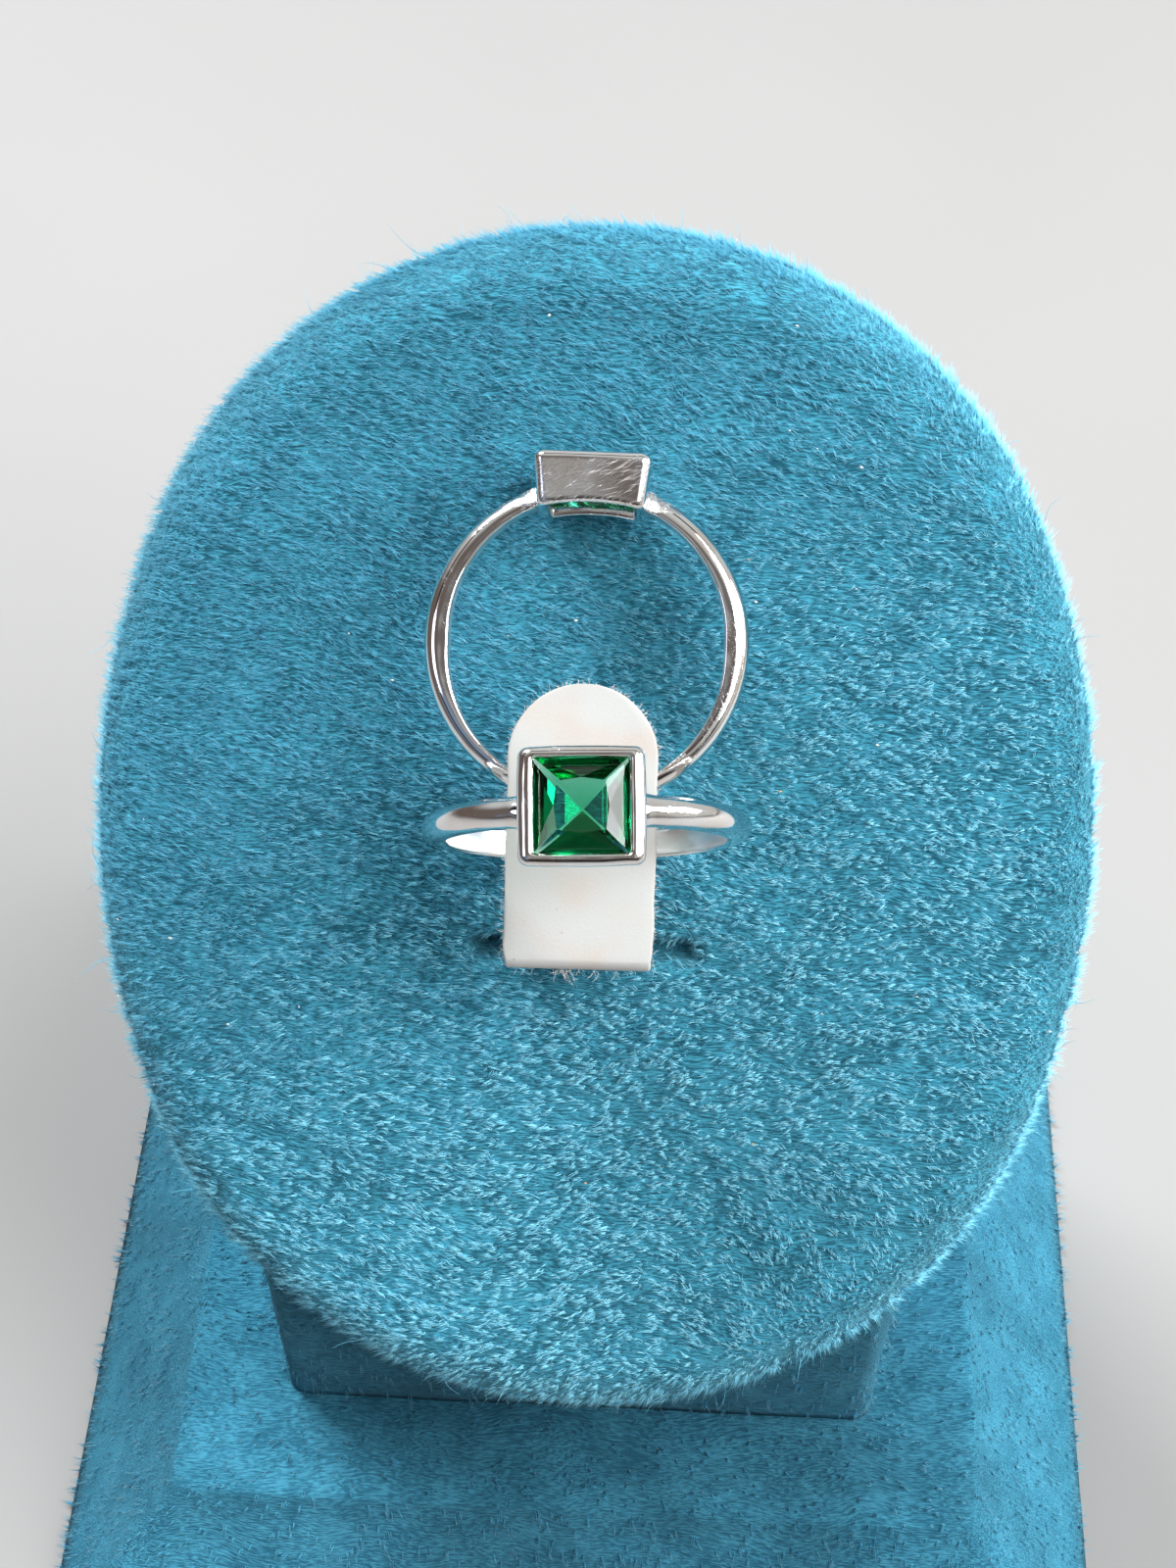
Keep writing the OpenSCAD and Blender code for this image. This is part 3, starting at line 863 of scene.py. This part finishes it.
def bezel():
    """The open box round the stone: a wall profile carried round a square with soft corners. From outside
    to inside it goes up the tapered, slightly swollen wall, over a rounded shoulder to a ridge, down the
    bright inner slope, past the groove that holds the stone, down the open back and along the hollow
    underside, which is an arc across."""
    place, normal = rounded_square(16, 10)
    swell = WALL_SWELL * (1 - place**2)[:, ::-1] * (np.abs(normal) > 0.999) * normal
    rows = []

    def row(half, corner, height, wall_share=None, swollen=0):
        """One row at a height, or at a share of the way up to it from the hollow underside."""
        flat = (half - corner) * place + corner * normal + swollen * swell
        z = np.full(len(flat), height)
        if wall_share is not None:
            low = SOLE - SOLE_R + np.sqrt(SOLE_R**2 - flat[:, 0] ** 2)
            z = low + wall_share * (height - low)
        rows.append(np.column_stack([flat, z]))

    for t in np.linspace(0, 1, 12):
        taper = BEZEL_TAPER * (1 - t) * (BEZEL_SHOULDER_Z - SOLE) / (BEZEL_SHOULDER_Z - BEZEL_FOOT_Z)
        edge = 0.08 * (1 - min(1, 9 * t)) ** 2
        row(BEZEL_HALF - taper - edge, BEZEL_CORNER, BEZEL_SHOULDER_Z, t, 1)
    rim = BEZEL_HALF - OPENING
    rise = BEZEL_RIM_Z - BEZEL_SHOULDER_Z
    for a in np.linspace(0, np.pi / 2, 9)[1:]:
        inset = RIDGE * rim * (1 - np.cos(a))
        corner = BEZEL_CORNER - (BEZEL_CORNER - RIDGE_CORNER) * np.sin(a) ** 2
        row(BEZEL_HALF - inset, corner, BEZEL_SHOULDER_Z + rise * np.sin(a), swollen=np.cos(a))
    for t in np.linspace(0, 1, 6)[1:]:
        half = BEZEL_HALF - rim * (RIDGE + (1 - RIDGE) * t)
        row(half, RIDGE_CORNER * (1 - t / 2), BEZEL_RIM_Z - 0.03 * t - 0.19 * t**1.5)
    row(OPENING, 0.1, GROOVE_Z[1] + 0.01)
    row(GROOVE, 0.05, GROOVE_Z[1])
    row(GROOVE, 0.05, GROOVE_Z[0])
    row(BACK_OPENING, 0.1, GROOVE_Z[0])
    for t in (0.66, 0.33, 0.04, 0.0):
        row(BACK_OPENING + 0.05 * (t == 0), 0.1, GROOVE_Z[0], t)
    rows = np.array(rows)
    rows += drift(rows, 1.1, 81) * 0.015
    points, faces = rows.reshape(-1, 3), grid_faces(len(rows), len(place), True)
    return points, outward(points, faces.tolist())


INSIDE_R, INSIDE_HALF = 8.45, 0.7  # the shank's faces within both have the finish of its inside
SOLDER_Z = 7.35  # above this the rear ring's shank has the finish of solder
WALL_FROM = 2.7  # beyond this, along the ring's axis, the bezel's walls are scratched


def ring_metal(name, node, placed, lumpy):
    """Shank and bezel, soldered into one piece, with their faces sorted by finish: plain, inside of the
    shank, solder, and the two bezel walls that face along the ring's axis."""
    shank_points, shank_faces = shank(lumpy)
    bezel_points, bezel_faces = bezel()
    offset = len(shank_points)
    faces = [*shank_faces, *[tuple(v + offset for v in f) for f in bezel_faces]]
    points = np.vstack([shank_points, bezel_points])
    middle = np.array([points[list(f)].mean(0) for f in faces])
    radius = np.hypot(middle[:, 0], middle[:, 2])
    on_shank = np.arange(len(faces)) < len(shank_faces)
    inside = on_shank & (radius < INSIDE_R) & (np.abs(middle[:, 1]) < INSIDE_HALF)
    solder = on_shank & ~inside & (middle[:, 2] > SOLDER_Z) & (lumpy > 0.5)
    wall = ~on_shank & (np.abs(middle[:, 1]) > WALL_FROM) & (middle[:, 2] < BEZEL_SHOULDER_Z)
    made = piece(name, placed(points), faces, SILVER, "silver", inside + 2 * solder + 3 * wall)
    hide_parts(node)


ring_metal("upright_ring_metal", "upright_ring", place_upright, 0.25)
ring_metal("leaning_ring_metal", "leaning_ring", place_leaning, 1.0)


def cut_stone():
    """A square stone with flat facets: on each side of the crown a triangle and two kite-like facets that
    meet at the middle of the table's edge, and under the girdle one triangle down to the point. The corners
    and the edges under them are cut off by thin facets: z = apex + slope * (x + y), parallel to the edge."""
    crown, depth, half, cut = STONE_CROWN, STONE_DEPTH, STONE_HALF, STONE_CORNER
    low, top = -GIRDLE / 2, GIRDLE / 2 + crown
    side = np.array([
        (half, half - cut, -low), (half - cut, half, -low), (half, half - cut, low), (half - cut, half, low),
        (TABLE_HALF, TABLE_HALF, top), (TABLE_MIDDLE, 0, top - 0.03 * crown),
        (cut, 0, low - depth * (1 - cut / half))])
    apex = low - depth * (1 - cut / (2 * half))
    points = np.vstack([*(turned(side, 2, k * np.pi / 2) for k in range(4)), [(0, 0, apex)]])
    tip = len(points) - 1
    faces = []
    for k in range(4):
        right, left, low_right, low_left, table, middle, point = np.arange(7) + 7 * k
        before, after = 7 * ((k - 1) % 4), 7 * ((k + 1) % 4)
        crown_faces = [(before + 1, right, middle), (right, table, middle),
                       (before + 1, middle, before + 4), (right, left, table)]
        girdle_faces = [(before + 1, before + 3, low_right, right), (right, low_right, low_left, left)]
        under_faces = [(before + 3, point, low_right), (low_right, point, tip, after + 6, low_left)]
        faces += crown_faces + girdle_faces + under_faces
    faces.append([7 * k + j for k in range(4) for j in (5, 4)])
    points[:, 2] += GIRDLE_Z
    return points, outward(points, faces)


GREEN = green_stone()
for node, placed in (("upright_stone", place_upright), ("leaning_stone", place_leaning)):
    points, faces = cut_stone()
    stone = piece(f"{node}_cut", placed(points), faces, [GREEN], "green_stone")
    stone.data.polygons.foreach_set("use_smooth", np.zeros(len(faces), bool))
    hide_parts(node)


# The tab
def tab_strip():
    """The folded strip: a flat section with soft edges carried up the leg, round the fold and up the face,
    whose width closes in a half circle at the top. The cut edges waver a little."""
    mid = TAB_T / 2
    leg = np.linspace(-TAB_LEG - TAB_ROOT, -FOLD_R, 20, endpoint=False)
    bend = np.linspace(np.pi, np.pi / 2, 10, endpoint=False)
    straight = np.linspace(FOLD_R, TAB_L - TAB_W / 2, 36, endpoint=False)
    top = TAB_L - TAB_W / 2 + TAB_W / 2 * np.sin(np.linspace(0, np.pi / 2, 40))
    fold = FOLD_R - mid
    along = np.concatenate([np.full(len(leg), mid), FOLD_R + fold * np.cos(bend), straight, top])
    out = np.concatenate([leg, -FOLD_R + fold * np.sin(bend), np.full(len(straight) + len(top), -mid)])
    over = np.maximum(along - (TAB_L - TAB_W / 2), 0)
    half = np.sqrt(np.maximum((TAB_W / 2) ** 2 - over**2, POLE_HALF**2))
    ease = np.exp(-((along - 0.3) / 0.5) ** 2) * 0.12
    waver = drift(np.column_stack([along, out, np.zeros_like(out)]), 1.3, 91, 2) * 0.035
    tangent = unit(np.gradient(np.column_stack([along, out]), axis=0))
    facing = np.column_stack([-tangent[:, 1], tangent[:, 0]])
    place, normal = rounded_square(14, 5)
    rows = []
    for k in range(len(along)):
        reach = np.array([max(half[k] - ease[k], POLE_HALF), mid])
        corner = min(TAB_EDGE_R, 0.9 * reach[0])
        section = (reach - corner) * place + corner * normal
        edge = section[:, 0] / reach[0]
        at_side = np.abs(edge) ** 4 * min(1, half[k])
        section[:, 0] += np.where(edge > 0, waver[k, 0], waver[k, 1]) * at_side
        spot = np.array([along[k], out[k]]) + section[:, 1:] * facing[k]
        rows.append(np.column_stack([section[:, 0], spot]))
    rows = np.array(rows)
    rows[..., 2] += 0.05 * drift(rows, 3.0, 92, 1)[..., 0]
    points, faces = closed_tube(rows)
    return on_tab(points), faces


tab = piece("tab_strip", *tab_strip(), [white_leather()], "tab_leather")
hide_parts("ring_tab")


def frayed_edges():
    """Fine pale fibres along the strip's cut sides and round top, a tuft of longer ones under the fold and
    one hair at the left."""
    rng = np.random.default_rng(521)
    fine, tuft, gathered = 330, 34, 20
    half, side_l = TAB_W / 2, TAB_L - TAB_W / 2
    place = rng.uniform(0, 2 * side_l + np.pi * half, fine)
    angle = np.clip((place - side_l) / half, 0, np.pi)
    beyond = np.maximum(place - side_l - np.pi * half, 0)
    x = half * np.cos(angle)
    round_top = (angle > 0) & (angle < np.pi)
    y = np.where(place < side_l, place, side_l - beyond) + half * np.sin(angle) * round_top
    out = np.column_stack([np.cos(angle), np.sin(angle), np.zeros(fine)])
    starts = np.column_stack([x, y, rng.uniform(-0.5, -0.05, fine)]) - 0.04 * out
    ways = out + rng.normal(0, 0.5, out.shape)
    near, far = rng.normal(-0.9, 0.45, tuft), rng.uniform(-3.8, 3.8, tuft)
    tuft_x = np.where(np.arange(tuft) < gathered, near, far)
    tuft_starts = np.column_stack([tuft_x, np.full(tuft, 0.02), rng.uniform(-0.5, -0.3, tuft)])
    starts = np.vstack([starts, tuft_starts, [(-4.1, 2.9, -0.3)]])
    ways = np.vstack([ways, rng.normal(0, 0.45, (tuft, 3)) + (0, -1, 0.1), [(-0.55, 1, 0.3)]])
    bends = rng.normal(0, 0.35, ways.shape)
    length = np.concatenate([rng.uniform(0.12, 0.34, fine), rng.uniform(0.25, 0.75, tuft), [1.5]])
    finish = loose_fibre("frayed_fibre", (0.60, 0.60, 0.57))
    placed_ways = on_tab(ways) - on_tab(np.zeros(3))
    thread("frayed_edges", on_tab(starts), placed_ways, bends, length, 0.013, finish, "tab_leather")


frayed_edges()


# Floor, light and camera
def pale_floor():
    """A plain square floor under the stand."""
    half = 1.5
    mesh = bpy.data.meshes.new("floor")
    corners = [(-half, -half, 0), (half, -half, 0), (half, half, 0), (-half, half, 0)]
    mesh.from_pydata(corners, [], [(0, 1, 2, 3)])
    mesh.materials.append(floor_finish())
    new_object("floor", mesh)


AIM = (0, 0, 0.055)


def softbox(name, place, size, power, colour):
    """A square soft light at a place in metres, turned towards the middle of the stand."""
    light = bpy.data.lights.new(name, "AREA")
    light.size, light.energy, light.color = size, power, colour
    made = new_object(name, light)
    made.location = place
    made.rotation_euler = (Vector(AIM) - made.location).to_track_quat("-Z", "Y").to_euler()


# The room's light towards some directions: the direction, the cosines of the angles from it where the light
# starts to come in and where it is full, and its colour. Later ones cover earlier ones
WALLS = [
    ((-0.2, 0.6, 0.77), 0.55, 0.9, (0.68, 0.69, 0.68)),
    ((0, -1, -0.3), 0.35, 0.9, (0.035, 0.026, 0.022)),
    ((-0.57, -0.71, 0.42), 0.90, 0.97, (0.20, 0.27, 0.38)),
    ((0, -0.64, 0.77), 0.95, 0.98, (0.16, 0.15, 0.15)),
    ((-0.12, -0.675, 0.73), 0.975, 0.988, (0.40, 0.395, 0.38))]
PANELS = [
    ((0.14, -0.66, 0.74), 0.983, 0.993, (0.09, 0.072, 0.07)),
    ((0.61, -0.24, 0.745), 0.972, 0.985, (3.6, 3.5, 4.2)),
    ((-0.69, -0.40, 0.60), 0.975, 0.988, (2.2, 2.2, 2.6))]
DARK_RING = (0, -0.5, 0.866)  # the middle of a thin dark ring that the front bezel's rim mirrors


def studio_walls():
    """The room's soft light: brown on the left and bright on the right, then bright at the back, dark low in
    front, bluish at the left of it and grey where the flat metal mirrors it. A thin dark ring, a dark panel
    for the metal and two pale ones for the stone's facets come last."""
    world = bpy.data.worlds.new("studio")
    bpy.context.scene.world = world
    f = Finish("studio", world)
    way = f.node("ShaderNodeTexCoord", out="Generated")

    def towards(direction, low, high):
        sockets = {0: way, 1: tuple(unit(np.array(direction)))}
        dot = f.node("ShaderNodeVectorMath", {"operation": "DOT_PRODUCT"}, sockets, "Value")
        return f.between(dot, low, high)

    def with_spots(colour, spots):
        for direction, low, high, light in spots:
            colour = f.mixed(towards(direction, low, high), colour, dye(light))
        return colour

    sides = f.mixed(towards((1, 0, 0), -0.12, 0.22), dye((0.15, 0.12, 0.105)), dye((0.60, 0.59, 0.56)))
    inner, outer = towards(DARK_RING, 0.66, 0.70), towards(DARK_RING, 0.52, 0.56)
    ringed = f.mixed(outer * (1 - inner), with_spots(sides, WALLS), dye((0.025, 0.022, 0.022)))
    f.fill(f.shader, {"Color": with_spots(ringed, PANELS), "Strength": 1.0})


# The camera's place in metres, its turns in degrees and its focal length
EYE, EYE_TURNS, LENS = (0.003937, -0.083044, 0.166185), (37.4, 0, 3.0), 51.975


def photo_camera():
    """A camera at the photo's angle, with everything in focus."""
    camera = bpy.data.cameras.new("camera")
    camera.sensor_fit, camera.sensor_height, camera.lens = "VERTICAL", 36, LENS
    camera.clip_start, camera.clip_end = 0.01, 10
    eye = new_object("camera", camera)
    eye.location = EYE
    eye.rotation_euler = np.radians(EYE_TURNS)
    bpy.context.scene.camera = eye


pale_floor()
softbox("key_light", (-0.22, 0.22, 0.46), 0.18, 4.0, (0.98, 0.99, 1))
softbox("front_light", (0.32, -0.14, 0.43), 0.36, 3.3, (1, 0.995, 0.985))
softbox("side_light", (0.47, 0.05, 0.24), 0.18, 1.9, (1, 0.995, 0.98))
studio_walls()
photo_camera()
bpy.context.scene.view_settings.view_transform = "Standard"
bpy.context.scene.cycles.glossy_bounces = 12  # for light turned back many times inside the stones
